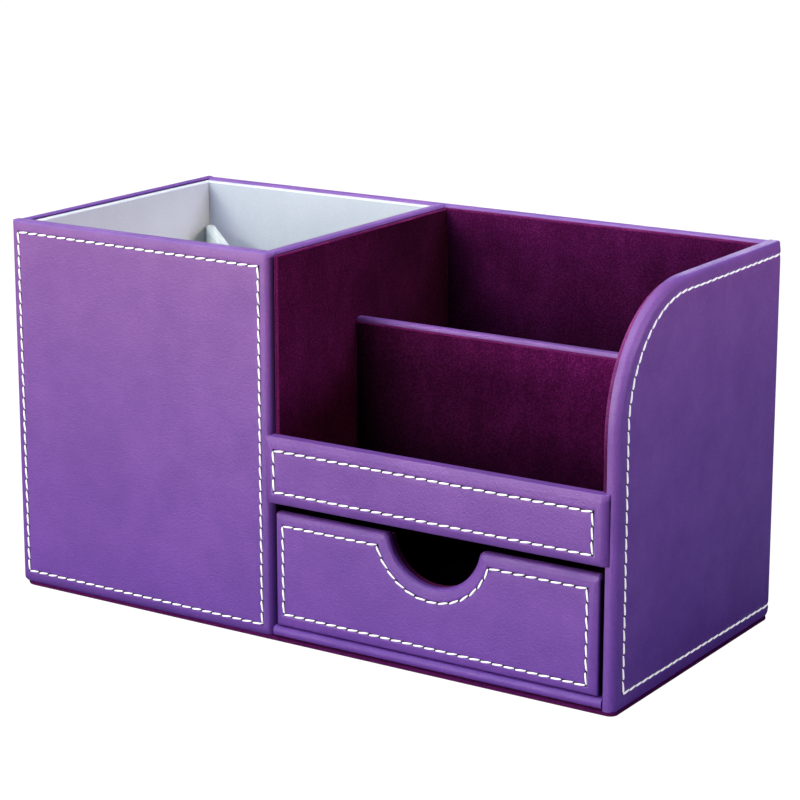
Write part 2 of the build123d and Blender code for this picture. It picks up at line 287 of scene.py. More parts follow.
# edge colours of the velvet linings, lighter than the flat pile: painted highlight; the strong one also grows
# darker lower down, painted shade
pileEdgeHighlightLook = {"low": (0.067, 0.004, 0.043), "mid": (0.120, 0.009, 0.080), "high": (0.225, 0.027, 0.155)}
pileStrongHighlightLook = {
    "low": (0.14, 0.018, 0.11), "mid": (0.26, 0.046, 0.21), "high": (0.40, 0.095, 0.33),
    "paintedLight": (("Z", 85.0 * mm, 128.0 * mm, (0.40, 0.28, 0.38), (1.15, 1.15, 1.15)),),
}
velourLook = {"low": (0.585, 0.605, 0.73), "mid": (0.635, 0.652, 0.79), "high": (0.69, 0.708, 0.845)}
# painted light: the side walls and the divider get a lighter, warmer copy of the pale velour
velourSideLitLook = {"low": (0.645, 0.68, 0.685), "mid": (0.70, 0.735, 0.74), "high": (0.765, 0.80, 0.795)}
# painted highlight: the rounded edges of the pale linings are lighter
velourEdgeHighlightLook = {"low": (0.84, 0.85, 0.90), "mid": (0.90, 0.91, 0.94), "high": (0.94, 0.95, 0.97)}
feltLook = {"low": (0.040, 0.003, 0.038), "mid": (0.090, 0.006, 0.082), "high": (0.150, 0.014, 0.135)}
paperLook = {"low": (0.030, 0.004, 0.026), "mid": (0.042, 0.006, 0.037), "high": (0.060, 0.010, 0.054)}
boardLook = {"low": (0.19, 0.115, 0.06), "mid": (0.27, 0.17, 0.095), "high": (0.36, 0.24, 0.14)}
holeShadeLook = {"low": (0.010, 0.003, 0.022), "high": (0.034, 0.010, 0.070)}
seamShadeLook = {"low": (0.040, 0.014, 0.085), "high": (0.085, 0.030, 0.175)}
# painted light: the thread's glow lights the thread itself, so that it stays white in shade
threadLook = {
    "low": (0.84, 0.83, 0.83), "mid": (0.91, 0.90, 0.90), "high": (0.96, 0.96, 0.95), "glow": 0.60,
}
velvetWeave = {"nap": {"Tufts": 1700.0, "Brushing": 150.0, "Patches": 36.0}, "bump": 0.5, "depth": 0.35 * mm}
edgeWeave = {"nap": {"Tufts": 2300.0, "Brushing": 300.0, "Patches": 90.0}, "bump": 0.5, "depth": 0.35 * mm}
velourWeave = {"nap": {"Tufts": 2300.0, "Brushing": 120.0, "Patches": 30.0}, "bump": 0.35, "depth": 0.25 * mm}
feltWeave = {"nap": {"Tufts": 1300.0, "Brushing": 420.0, "Patches": 90.0}, "bump": 0.7, "depth": 0.5 * mm}


def makeLeather():
    material, tree, shader = newMaterial("purpleLeather", {"Specular IOR Level": 0.5})
    grain = useGroup(tree, grainGroup, {"Pebbles": 1500.0, "Creases": 1300.0, "Patches": 60.0})
    tone = grain.outputs["Tone"]
    colour = paintLightAlong(tree, toneRamp(tree, tone, leatherLook, 0.16), leatherLook["paintedLight"])
    # painted shade and shadow, from the mask laid on folds and gaps
    paintedFoldShade = addNode(tree, "Attribute", {"attribute_name": "paintedShadeMask"})
    paintedShades = ((0.0, (1.0, 1.0, 1.0)), (0.5, leatherLook["paintedFoldShade"]), (1.0, leatherLook["gap"]))
    colour = productOf(tree, colour, rampOf(tree, paintedFoldShade.outputs["Fac"], paintedShades))
    colourFrom(tree, shader, colour, tone, leatherLook["matt"], leatherLook["gloss"])
    bumpFrom(tree, shader, grain.outputs["Height"], leatherLook["bump"], leatherLook["depth"])
    return material


def sheenOf(weight, roughness, tint, gloss):
    return {"Sheen Weight": weight, "Sheen Roughness": roughness, "Sheen Tint": (*tint, 1.0),
            "Specular IOR Level": gloss}


def makePile(name, look, weave, sheen, spread):
    material, tree, shader = newMaterial(name, sheen)
    pile = useGroup(tree, napGroup, weave["nap"])
    tone = pile.outputs["Tone"]
    colour = paintLightAlong(tree, toneRamp(tree, tone, look, spread), look.get("paintedLight", ()))
    colourFrom(tree, shader, colour, tone, 0.98, 0.82)
    bumpFrom(tree, shader, pile.outputs["Height"], weave["bump"], weave["depth"])
    return material


def makeThread():
    sheen = sheenOf(0.25, 0.4, (1.0, 1.0, 1.0), 0.35)
    # the emission is painted light that keeps the thread white in shade
    material, tree, shader = newMaterial("whiteThread", {**sheen, "Emission Strength": threadLook["glow"]})
    strand = noiseOf(tree, objectMapping(tree), 4200.0, {"Detail": 2.0, "Roughness": 0.6})
    colour = toneRamp(tree, strand, threadLook, 0.2)
    colourFrom(tree, shader, colour, strand, 0.8, 0.55)
    tree.links.new(colour, shader.inputs["Emission Color"])
    bumpFrom(tree, shader, strand, 0.4, 0.15 * mm)
    return material


def makeShaded(name, look):
    material, tree, shader = newMaterial(name, {"Specular IOR Level": 0.2})
    grain = useGroup(tree, grainGroup, {"Pebbles": 2600.0, "Creases": 1500.0, "Patches": 200.0})
    tone = grain.outputs["Tone"]
    colour = rampOf(tree, tone, ((0.3, look["low"]), (0.7, look["high"])))
    colourFrom(tree, shader, colour, tone, 0.95, 0.8)
    return material


def makeBoard(name, look, fibre):
    material, tree, shader = newMaterial(name, {"Specular IOR Level": 0.3})
    chipping = {"Detail": 4.0, "Roughness": 0.65, "Distortion": 0.4}
    chips = noiseOf(tree, objectMapping(tree), fibre, chipping)
    colourFrom(tree, shader, toneRamp(tree, chips, look, 0.18), chips, 0.9, 0.72)
    bumpFrom(tree, shader, chips, 0.3, 0.15 * mm)
    return material


leather = makeLeather()
velvetSheen = sheenOf(0.40, 0.30, (0.85, 0.10, 0.55), 0.03)
# lit and shaded copies of the one velvet, each with its own painted light and shade
velvet, sideVelvet, dividerVelvet, backVelvet = (
    makePile(name, {**velvetLook, "paintedLight": paintedLight}, velvetWeave, velvetSheen, 0.13) for name, paintedLight in (
        ("plumVelvet", velvetLook["paintedLight"]), ("plumVelvetSidePaintedLight", partitionPaintedLight),
        ("plumVelvetDivider", dividerPaintedLight), ("plumVelvetBack", backPaintedLight)))
pileEdgeHighlight = makePile("plumPileEdgeHighlight", pileEdgeHighlightLook, edgeWeave, sheenOf(0.40, 0.30, (0.85, 0.20, 0.60), 0.03), 0.13)
pileStrongHighlight = makePile("plumPileStrongHighlight", pileStrongHighlightLook, edgeWeave, sheenOf(0.40, 0.30, (0.85, 0.30, 0.70), 0.03), 0.16)
paleTint = (0.95, 0.96, 1.0)
velour, sideVelour, velourEdgeHighlight = (
    makePile(name, look, velourWeave, sheenOf(0.2, 0.5, tint, 0.15), 0.18) for name, look, tint in (
        ("paleVelour", velourLook, paleTint), ("paleVelourSideLit", velourSideLitLook, paleTint),
        ("paleVelourEdgeHighlight", velourEdgeHighlightLook, (1.0, 1.0, 1.0))))
felt = makePile("plumFelt", feltLook, feltWeave, sheenOf(0.15, 0.6, (0.8, 0.1, 0.65), 0.04), 0.18)
thread = makeThread()
paintedHoleShade = makeShaded("paintedHoleShade", holeShadeLook)
paintedSeamShade = makeShaded("paintedSeamShade", seamShadeLook)
sewnLeather = [leather, paintedSeamShade]
plumPaper = makeBoard("plumPaper", paperLook, 700.0)
fibreboard = makeBoard("fibreboard", boardLook, 520.0)
print("materials made")


# mesh helpers
def boxBetween(lo, hi):
    bm = bmesh.new()
    size = Vector(hi) - Vector(lo)
    place = Matrix.Translation((Vector(lo) + Vector(hi)) / 2) @ Matrix.Diagonal((*size, 1.0))
    bmesh.ops.create_cube(bm, size=1.0, matrix=place)
    bm.normal_update()
    return bm


def faceTowards(bm, way):
    bm.normal_update()
    return max((f for f in bm.faces if f.normal.dot(Vector(way)) > 0.99), key=lambda f: f.calc_area())


def isLevel(edge, axis):
    return abs(edge.verts[0].co[axis] - edge.verts[1].co[axis]) < touch


def vertsOf(made):
    return [part for part in made if isinstance(part, bmesh.types.BMVert)]


def cutAt(bm, place, way, clear=False, parts=None):
    parts = parts or bm.verts[:] + bm.edges[:] + bm.faces[:]
    bmesh.ops.bisect_plane(bm, geom=parts, dist=planeGap, plane_co=place, plane_no=way, clear_outer=clear)


def putOn(bm, panel):
    bmesh.ops.transform(bm, matrix=panel, verts=bm.verts[:])


def roundOff(bm, parts, radius, steps, affect):
    bmesh.ops.bevel(bm, geom=list(parts), offset=radius, offset_type="OFFSET", affect=affect, segments=steps,
                    profile=0.5, material=-1, clamp_overlap=affect == "EDGES")
    bm.normal_update()


def roundEdges(bm, edges, radius, steps=4):
    roundOff(bm, edges, radius, steps, "EDGES")


def roundCorners(bm, verts, radius, steps):
    roundOff(bm, verts, radius, steps, "VERTICES")


def softenShading(bm, limit):
    bm.normal_update()
    for face in bm.faces:
        face.smooth = True
    for edge in bm.edges:
        edge.smooth = len(edge.link_faces) == 2 and edge.calc_face_angle(0.0) < limit


def makeMesh(bm, name, materials=()):
    mesh = bpy.data.meshes.new(name)
    bm.to_mesh(mesh)
    bm.free()
    for material in materials:
        mesh.materials.append(material)
    return mesh


def makeObject(name, data):
    item = bpy.data.objects.new(name, data)
    bpy.context.scene.collection.objects.link(item)
    return item


def makePiece(bm, name, body, materials, stoodFor, thickness=0.0):
    bmesh.ops.remove_doubles(bm, verts=bm.verts[:], dist=mergeGap)
    bmesh.ops.dissolve_degenerate(bm, dist=mergeGap, edges=bm.edges[:])
    softenShading(bm, creaseAngle)
    piece = makeObject(name, makeMesh(bm, name, materials))
    if thickness:
        wall = piece.modifiers.new("leatherThickness", "SOLIDIFY")
        wall.thickness = thickness
        wall.offset = -1.0
    shade = piece.modifiers.new("evenShading", "WEIGHTED_NORMAL")
    shade.keep_sharp = True
    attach(piece, body)
    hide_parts(*stoodFor)


def makeSewn(bm, panel, name, body, node):
    putOn(bm, panel)
    makePiece(bm, name, body, sewnLeather, [node], skin)


# outline of a flat panel in its own space
def plainOutline(uSpan, vSpan):
    bm = bmesh.new()
    size = Matrix.Diagonal((uSpan[1] - uSpan[0], vSpan[1] - vSpan[0], 1.0, 1.0))
    middle = Matrix.Translation((sum(uSpan) / 2, sum(vSpan) / 2, 0.0))
    bmesh.ops.create_grid(bm, x_segments=1, y_segments=1, size=0.5, matrix=middle @ size)
    bm.normal_update()
    return bm


def sweptCorner(bm, radius, steps):
    roundCorners(bm, [min(bm.verts, key=lambda v: v.co.x - v.co.y)], radius, steps)


def notchedOutline(uSpan, vSpan, centre, radius, steps):
    bm = bmesh.new()
    reach = math.sqrt(radius ** 2 - (centre.y - vSpan[1]) ** 2)
    lip = bm.verts.new((centre.x - reach, vSpan[1], 0.0))
    sweep = 2 * math.atan2(reach, centre.y - vSpan[1])
    middle = (centre.x, centre.y, 0.0)
    bmesh.ops.spin(bm, geom=[lip], cent=middle, axis=(0, 0, 1), angle=sweep, steps=steps)
    farLip = max(bm.verts, key=lambda v: v.co.x)
    corners = [bm.verts.new((u, v, 0.0)) for u, v in (
        (uSpan[1], vSpan[1]), (uSpan[1], vSpan[0]), (uSpan[0], vSpan[0]), (uSpan[0], vSpan[1]))]
    ring = [farLip, *corners, lip]
    for first, second in zip(ring, ring[1:]):
        bm.edges.new((first, second))
    bmesh.ops.contextual_create(bm, geom=bm.edges[:])
    bm.normal_update()
    if bm.faces[:][0].normal.z < 0:
        bmesh.ops.reverse_faces(bm, faces=bm.faces[:])
    return bm


# the groove under every sewn line; its shape is in shares of the width and of the depth
seam = {"width": 0.9 * mm, "depth": 0.42 * mm, "crestGap": 0.2 * mm,
        "shape": ((-1.0, 0.05), (-0.5, 0.6), (0.0, 1.0), (0.5, 0.6), (1.0, 0.08), (3.0, 0.0))}


# sewn edge: the leather swells up from the outline to a soft crest, dips along the stitches and levels out
def pressProfile(bm, look, slants, reach=None, gather=0.0):
    face = bm.faces[:][0]
    margin, drop, width = look["margin"], look["drop"], seam["width"]
    crest = margin - width - seam["crestGap"]
    profile = [(share * crest, -fall * drop) for share, fall in look["swell"]]
    profile.append((crest, 0.0))
    profile.extend((margin + across * width, -dip * seam["depth"]) for across, dip in seam["shape"])
    bmesh.ops.translate(bm, vec=(0, 0, -drop), verts=list(face.verts))
    lastReach, lastHeight = 0.0, -drop
    for distance, height in profile:
        step = distance - lastReach
        ring = bmesh.ops.inset_region(bm, faces=[face], thickness=step, depth=height - lastHeight,
                                      use_even_offset=True, use_boundary=True)["faces"]
        for ringFace in ring:
            # the faces along the stitches take the dark second material: painted shade in the groove
            ringFace.material_index = int(abs(distance - margin - 0.25 * width) < 0.3 * width)
        if gather:
            bmesh.ops.remove_doubles(bm, verts=list(face.verts), dist=gather)
            face = faceTowards(bm, (0, 0, 1))
        if distance <= margin + planeGap:
            slideLoop(face, sideShifts(look), slants, step / margin, reach)
        lastReach, lastHeight = distance, height


def sideShifts(look):
    margin = look["margin"]
    return look["left"] - margin, margin - look["right"], look["bottom"] - margin, margin - look["top"]


# moves a loop's sides by shares of (left, right, bottom, top), its far ends only or all along it;
# the slants lift the left ends of its bottom and its top and lower the right ones
def slideLoop(face, shifts, slants, share, reach):
    left = min(v.co.x for v in face.verts)
    wide = max(v.co.x for v in face.verts) - left
    for axis, (lowShift, highShift) in enumerate((shifts[:2], shifts[2:])):
        low = min(v.co[axis] for v in face.verts)
        high = max(v.co[axis] for v in face.verts)
        for vert in face.verts:
            along = (vert.co[axis] - low) / (high - low)
            if reach is not None:
                along = 0.0 if vert.co[axis] < low + reach else 1.0 if vert.co[axis] > high - reach else None
            if along is not None:
                rise = axis * (0.5 - (vert.co.x - left) / wide)
                lowMove, highMove = lowShift + rise * slants[0], highShift + rise * slants[1]
                vert.co[axis] += share * (lowMove * (1.0 - along) + highMove * along)


# lets the margin fall away towards an edge, given as axis, side, reach, fall and the shares of added loops
def leanEdges(bm, leans):
    for axis, side, reach, fall, loops in leans:
        edge = max(v.co[axis] * side for v in bm.verts)
        way = Vector((axis == 0, axis == 1, 0.0))
        for share in loops:
            cutAt(bm, way * side * (edge - share * reach), way)
        for vert in bm.verts:
            into = (vert.co[axis] * side - edge + reach) / reach
            vert.co.z -= fall * max(0.0, into) ** 3


# paints shade on folds and gaps, each given as axis, side, reach from the edge, strength at the edge and
# power;
# the painted shade eases off below the head of the panel
def paintShadeOnFolds(bm, paintedShades, ease=2.5 * mm):
    head = max(v.co.y for v in bm.verts)
    cutAt(bm, (0, head - ease, 0), (0, 1, 0))
    layer = bm.verts.layers.float.new("paintedShadeMask")
    for axis, side, reach, strength, power in paintedShades:
        edge = max(v.co[axis] * side for v in bm.verts)
        for vert in bm.verts:
            into = max(0.0, (vert.co[axis] * side - edge + reach) / reach)
            below = min(1.0, (head - vert.co.y) / ease) ** 2
            vert[layer] = max(vert[layer], strength * below * into ** power)


# turns the leather over the edges of its board, down to the depth given
def extrudeBack(bm, edges, depth):
    made = bmesh.ops.extrude_edge_only(bm, edges=edges)["geom"]
    for vert in vertsOf(made):
        vert.co.z = -depth
    return [part for part in made if isinstance(part, bmesh.types.BMEdge) and part.is_boundary]


def sharpEdges(bm, limit):
    return [e for e in bm.edges if len(e.link_faces) == 2 and e.calc_face_angle(0.0) > limit]


def sharpUprights(bm, depth):
    bm.normal_update()
    return [e for e in sharpEdges(bm, 1.0)
            if min(v.co.z for v in e.verts) < touch - depth < max(v.co.z for v in e.verts)]


# the sides listed as plain keep a tight edge, the others and the corners a soft one
def turnOver(bm, depth, look, plain=()):
    sides = {"foot": (1, min), "start": (0, min), "end": (0, max)}
    outline = [e for e in bm.edges if e.is_boundary]
    tight = []
    for axis, pick in (sides[name] for name in plain):
        limit = pick(v.co[axis] for v in bm.verts)
        tight += [e for e in outline if all(abs(v.co[axis] - limit) < touch for v in e.verts)]
    rim = extrudeBack(bm, outline, depth)
    back = bmesh.ops.contextual_create(bm, geom=rim)["faces"][0]
    bmesh.ops.recalc_face_normals(bm, faces=bm.faces[:])
    uprights = [] if plain else sharpUprights(bm, depth)
    bmesh.ops.inset_region(bm, faces=[back], thickness=look["turnIn"], use_even_offset=True,
                           use_boundary=True)
    bmesh.ops.delete(bm, geom=[back], context="FACES_ONLY")
    soft = [e for e in outline + uprights if e.is_valid and e not in tight]
    roundEdges(bm, soft, look["edgeRound"], 6)
    if plain:
        sharp = [e for e in sharpEdges(bm, 0.8) if max(v.co.z for v in e.verts) > touch - depth]
        roundEdges(bm, sharp, look["footRound"], 3)
    rim = [e for e in sharpEdges(bm, 1.0) if all(abs(v.co.z + depth) < touch for v in e.verts)]
    roundEdges(bm, rim, look["rimRound"], 3)


# rounds the edge between two outer sides of a wrapped panel, each given as axis and direction
def easeEdge(bm, first, second, radius):
    sides = []
    for axis, way in (first, second):
        far = max(v.co[axis] * way for v in bm.verts)
        across = Vector([way * (index == axis) for index in range(3)])
        sides.append((across, far))
        for share in (1.0, 0.7, 0.45, 0.22):
            cutAt(bm, across * (far - share * radius), across)
    for vert in bm.verts:
        beyond = [radius - far + vert.co.dot(across) for across, far in sides]
        reach = math.hypot(*beyond)
        if min(beyond) > 0 and reach > radius:
            for (across, far), out in zip(sides, beyond):
                vert.co -= across * out * (1.0 - radius / reach)


# tightens the soft edge along the top towards the end of the panel
def tightenEnd(bm, look, head, end):
    radius = look["edgeRound"]
    for vert in bm.verts:
        rise = (vert.co.y - head) / radius + 1.0
        out = (vert.co.z + look["drop"]) / radius + 1.0
        if vert.co.x > end - look["endReach"] and 0.0 <= rise <= 1.0 and 0.0 <= out <= 1.0:
            vert.co.y += (radius - look["endRound"]) * (1.0 - rise)
            vert.co.z += (radius - look["endRound"]) * (1.0 - out)


# one stitch: a short twisted thread that dives into its holes
stitch = {"pitch": 4.4 * mm, "length": 4.7 * mm, "radius": 0.31 * mm, "dive": 0.40 * mm, "flat": 0.9,
          "slant": 6.0, "wander": 2.0, "bob": 0.04 * mm, "twist": 3.6, "bulge": 0.10,
          "holeRadius": 0.42 * mm, "holeNarrow": 0.8, "holeDepth": 0.22 * mm, "holeSink": 0.55}


def makeStitchMesh():
    bm = bmesh.new()
    lying = Matrix.Rotation(math.pi / 2, 4, "Y")
    bmesh.ops.create_uvsphere(bm, u_segments=8, v_segments=7, radius=1.0, matrix=lying)
    for vert in bm.verts:
        along = math.asin(max(-1.0, min(1.0, vert.co.x))) / (math.pi / 2)
        around = math.atan2(vert.co.z, vert.co.y)
        strands = 1.0 + stitch["bulge"] * math.cos(2 * around - stitch["twist"] * along)
        radius = stitch["radius"] * ((1.0 - abs(along) ** 3.5) ** 0.5 * strands)
        vert.co = (along * stitch["length"] / 2, radius * math.cos(around),
                   radius * math.sin(around) * stitch["flat"] - stitch["dive"] * abs(along) ** 6)
    softenShading(bm, threadAngle)
    return makeMesh(bm, "stitchShape")


# a dark lens sunk at each needle hole: painted shade of the hole
def makeHoleShadeMesh():
    bm = bmesh.new()
    bmesh.ops.create_uvsphere(bm, u_segments=8, v_segments=4, radius=1.0)
    size = (stitch["holeRadius"], stitch["holeRadius"] * stitch["holeNarrow"], stitch["holeDepth"])
    bmesh.ops.scale(bm, vec=size, verts=bm.verts[:])
    softenShading(bm, threadAngle)
    return makeMesh(bm, "holeShape")


stitchMesh = makeStitchMesh()
holeShadeMesh = makeHoleShadeMesh()


def addCopy(bm, mesh, place, materialIndex):
    count = len(bm.verts)
    faces = len(bm.faces)
    bm.from_mesh(mesh)
    bm.verts.ensure_lookup_table()
    bm.faces.ensure_lookup_table()
    bmesh.ops.transform(bm, matrix=place, verts=bm.verts[count:])
    for face in bm.faces[faces:]:
        face.material_index = materialIndex


# spots lie half a stitch apart, each a point and a heading: holes and stitches by turns
def sewSpots(bm, panel, spots):
    for point, heading in spots[1::2]:
        turn = heading + math.radians(stitch["slant"] + dice.uniform(-1, 1) * stitch["wander"])
        place = Matrix.Translation((*point, dice.uniform(-1, 1) * stitch["bob"]))
        addCopy(bm, stitchMesh, panel @ place @ Matrix.Rotation(turn, 4, "Z"), 0)
    for point, heading in spots[0::2]:
        place = Matrix.Translation((*point, -seam["depth"] * stitch["holeSink"]))
        addCopy(bm, holeShadeMesh, panel @ place @ Matrix.Rotation(heading, 4, "Z"), 1)


def sewLine(bm, panel, start, end):
    start, end = Vector(start), Vector(end)
    run = end - start
    halves = 2 * max(1, round(run.length / stitch["pitch"]))
    heading = math.atan2(run.y, run.x)
    sewSpots(bm, panel, [(start + run * (half / halves), heading) for half in range(halves + 1)])


def sewThrough(bm, panel, points):
    for start, end in zip(points, points[1:]):
        sewLine(bm, panel, start, end)


def sewArc(bm, panel, centre, radius, fromAngle, toAngle):
    sweep = toAngle - fromAngle
    halves = 2 * max(1, round(abs(sweep) * radius / stitch["pitch"]))
    side = math.copysign(math.pi / 2, sweep)
    spots = []
    for half in range(halves + 1):
        angle = fromAngle + sweep * half / halves
        spots.append((Vector(centre) + radius * Vector((math.cos(angle), math.sin(angle))), angle + side))
    sewSpots(bm, panel, spots)


def makeStitches(bm, name, body):
    piece = makeObject(name, makeMesh(bm, name, [thread, paintedHoleShade]))
    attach(piece, body)


# pen pot front, in one leather with its rim
potFront = {
    "swell": ((0.56, 0.22),), "edgeRound": 1.5 * mm, "footRound": 0.5 * mm, "rimRound": 1.0 * mm,
    "turnIn": 1.0 * mm, "drop": 0.5 * mm, "footCorner": 3.0 * mm, "margin": 4.6 * mm,
    "left": 3.0 * mm, "right": 4.9 * mm, "bottom": 4.0 * mm, "top": 4.7 * mm,
    "slants": (0.6 * mm, 0.9 * mm),
    "leans": ((0, 1, 4.2 * mm, 2.6 * mm, (0.40, 0.56, 0.75)),),
    # painted shade along the right edge and the bottom margin
    "paintedShades": ((0, 1, 2.4 * mm, 1.4, 3), (1, -1, 5.0 * mm, 0.45, 2)),
}


# the corners of a sewn line, from the top left one on clockwise
def sewnCorners(spans, look):
    (u0, u1), (v0, v1) = spans
    left, right = u0 + look["left"], u1 - look["right"]
    bottom, head = v0 + look["bottom"], v1 - look["top"]
    low, high = (slant / 2 for slant in look["slants"])
    return [Vector(corner) for corner in (
        (left, head + high), (right, head - high), (right, bottom - low), (left, bottom + low))]


def sewAround(name, body, panel, spans, look):
    sewn = bmesh.new()
    corners = sewnCorners(spans, look)
    sewThrough(sewn, panel, corners + corners[:1])
    makeStitches(sewn, name, body)


def makePotFront():
    panel = frontPanel(walls["front"])
    spans = (potLo.x, walls["bayEdge"]), (potLo.z, potHi.z)
    bm = plainOutline(*spans)
    pressProfile(bm, potFront, potFront["slants"])
    leanEdges(bm, potFront["leans"])
    turnOver(bm, walls["potBack"] - walls["front"], potFront, ("foot",))
    easeEdge(bm, (0, -1), (1, -1), potFront["footCorner"])
    paintShadeOnFolds(bm, potFront["paintedShades"])
    makeSewn(bm, panel, "pot_front_leather", "case", "pot_front_cover")
    sewAround("pot_front_stitches", "case", panel, spans, potFront)


makePotFront()
print("pen pot front sewn")


# outer walls: right side with its swept corner, back and left side
sideWall = {
    "swell": ((0.80, 0.10),), "sweep": 45.0 * mm, "sweepSteps": 18, "edgeRound": 2.4 * mm,
    "footRound": 0.5 * mm, "rimRound": 0.8 * mm, "turnIn": 1.2 * mm, "drop": 0.4 * mm, "margin": 6.2 * mm,
    "left": 6.2 * mm, "right": 6.2 * mm, "bottom": 4.6 * mm, "top": 4.8 * mm, "slants": (1.2 * mm, 0.0),
    "runOff": 14.0 * mm, "footCorner": 2.4 * mm, "endRound": 0.9 * mm, "endReach": 1.0 * mm,
    "lastHole": 1.0 * mm,
}
farWall = {"edgeRound": 1.4 * mm, "footRound": 0.5 * mm, "rimRound": 0.5 * mm, "turnIn": 1.2 * mm,
           "innerRound": 1.8 * mm}


def makeRightWall():
    panel = rightPanel(walls["right"])
    u0, u1, v0, v1 = walls["front"], walls["back"], walls["bottom"], walls["top"]
    bm = plainOutline((u0, u1 + sideWall["runOff"]), (v0, v1))
    sweptCorner(bm, sideWall["sweep"], sideWall["sweepSteps"])
    pressProfile(bm, sideWall, sideWall["slants"])
    cutAt(bm, (u1, 0, 0), (1, 0, 0), True)
    turnOver(bm, walls["right"] - walls["rightInner"], sideWall, ("foot", "end"))
    tightenEnd(bm, sideWall, v1, u1)
    easeEdge(bm, (0, 1), (1, -1), sideWall["footCorner"])
    makeSewn(bm, panel, "right_side_leather", "case", "outer_wrap")
    sewn = bmesh.new()
    left, last = u0 + sideWall["left"], u1 - sideWall["lastHole"]
    bottom, head = v0 + sideWall["bottom"], v1 - sideWall["top"]
    bend = sideWall["sweep"] - sideWall["margin"]
    rise = sideWall["slants"][0] / 2
    sewThrough(sewn, panel, ((last, bottom - rise), (left, bottom + rise), (left, head - bend)))
    sewArc(sewn, panel, (left + bend, head - bend), bend, math.pi, math.pi / 2)
    sewLine(sewn, panel, (left + bend, head), (last, head))
    makeStitches(sewn, "right_side_stitches", "case")


def makePlainWall(name, panel, uSpan, thickness, frontSeam):
    v0, v1 = walls["bottom"], walls["top"]
    extra = sideWall["runOff"]
    bm = plainOutline((uSpan[0] - extra, uSpan[1] + extra * (not frontSeam)), (v0, v1))
    pressProfile(bm, sideWall, (0.0, 0.0))
    cutAt(bm, (uSpan[0], 0, 0), (-1, 0, 0), True)
    if not frontSeam:
        cutAt(bm, (uSpan[1], 0, 0), (1, 0, 0), True)
    turnOver(bm, thickness, farWall, ("foot", "start") if frontSeam else ("foot",))
    easeEdge(bm, (1, 1), (2, -1), farWall["innerRound"])
    makeSewn(bm, panel, name + "_leather", "case", "outer_wrap")
    sewn = bmesh.new()
    bottom, head = v0 + sideWall["bottom"], v1 - sideWall["top"]
    last = uSpan[1] - sideWall["right"] if frontSeam else uSpan[1]
    sewLine(sewn, panel, (uSpan[0], head), (last, head))
    sewLine(sewn, panel, (last, bottom), (uSpan[0], bottom))
    if frontSeam:
        sewLine(sewn, panel, (last, head), (last, bottom))
    makeStitches(sewn, name + "_stitches", "case")


makeRightWall()
makePlainWall("back", backPanel(walls["back"]), (-walls["rightInner"], -walls["leftInner"]),
              walls["back"] - walls["backInner"], False)
makePlainWall("left_side", leftPanel(walls["left"]), (-walls["back"], -walls["potBack"]),
              walls["leftInner"] - walls["left"], True)
print("outer walls sewn")


# rail across the bay, lapping the walls at both ends
rail = {
    "swell": ((0.56, 0.22),), "edgeRound": 1.7 * mm, "drop": 0.6 * mm, "margin": 4.6 * mm,
    "left": 3.7 * mm, "right": 5.4 * mm, "bottom": 4.0 * mm, "top": 5.4 * mm,
    "slants": (0.8 * mm, 1.2 * mm),
    "leans": ((0, 1, 4.2 * mm, 0.8 * mm, (0.45, 0.6, 0.8)), (1, -1, 3.6 * mm, 0.4 * mm, ())),
    # painted shadow at the right end, painted shade on the bottom margin
    "paintedShades": ((0, 1, 0.8 * mm, 0.9, 2), (1, -1, 4.0 * mm, 0.28, 2)),
}


def makeRail():
    lo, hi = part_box("rail_cover")
    panel = frontPanel(lo.y)
    lip = walls["front"] - lo.y
    spans = (lo.x, hi.x), (lo.z, hi.z)
    bm = plainOutline(*spans)
    pressProfile(bm, rail, rail["slants"])
    leanEdges(bm, rail["leans"])
    outline = [e for e in bm.edges if e.is_boundary]
    bmesh.ops.contextual_create(bm, geom=extrudeBack(bm, outline, lip))
    bmesh.ops.recalc_face_normals(bm, faces=bm.faces[:])
    uprights = sharpUprights(bm, lip)
    for u in (walls["bayEdge"], walls["rightInner"]):
        back = faceTowards(bm, (0, 0, -1))
        cutAt(bm, (u, 0, 0), (1, 0, 0), parts=[back, *back.edges, *back.verts])
    core = faceTowards(bm, (0, 0, -1))
    made = bmesh.ops.extrude_face_region(bm, geom=[core])["geom"]
    bmesh.ops.translate(bm, vec=(0, 0, lo.y + lip - hi.y), verts=vertsOf(made))
    inside = {core, *(part for part in made if isinstance(part, bmesh.types.BMFace))}
    bmesh.ops.delete(bm, geom=list(inside), context="FACES_ONLY")
    roundEdges(bm, [e for e in outline + uprights if e.is_valid], rail["edgeRound"], 5)
    paintShadeOnFolds(bm, rail["paintedShades"])
    makeSewn(bm, panel, "rail_leather", "case", "rail_cover")
    sewAround("rail_stitches", "case", panel, spans, rail)


makeRail()
print("rail sewn")


# drawer front with its half-round finger notch
drawerFront = {
    "swell": ((0.30, 0.46), (0.62, 0.16)), "notchX": 55.4 * mm, "notchZ": 49.3 * mm,
    "notchRadius": 18.3 * mm, "notchSteps": 24, "lipRound": 1.8 * mm, "lipSteps": 5, "sideGap": 0.9 * mm,
    "edgeRound": 2.0 * mm, "rimRound": 0.5 * mm, "turnIn": 3.0 * mm, "drop": 1.0 * mm, "margin": 4.8 * mm,
    "left": 3.4 * mm, "right": 4.4 * mm, "bottom": 4.0 * mm, "top": 4.8 * mm,
    "slants": (1.5 * mm, 0.6 * mm), "slideReach": 6.0 * mm, "gather": 0.5 * mm,
    # painted shadow in the gap at the right edge, painted shade on the bottom margin
    "paintedShades": ((0, 1, 1.4 * mm, 1.0, 3), (1, -1, 4.0 * mm, 0.14, 2)),
}
notchCentre = Vector((drawerFront["notchX"], drawerFront["notchZ"]))


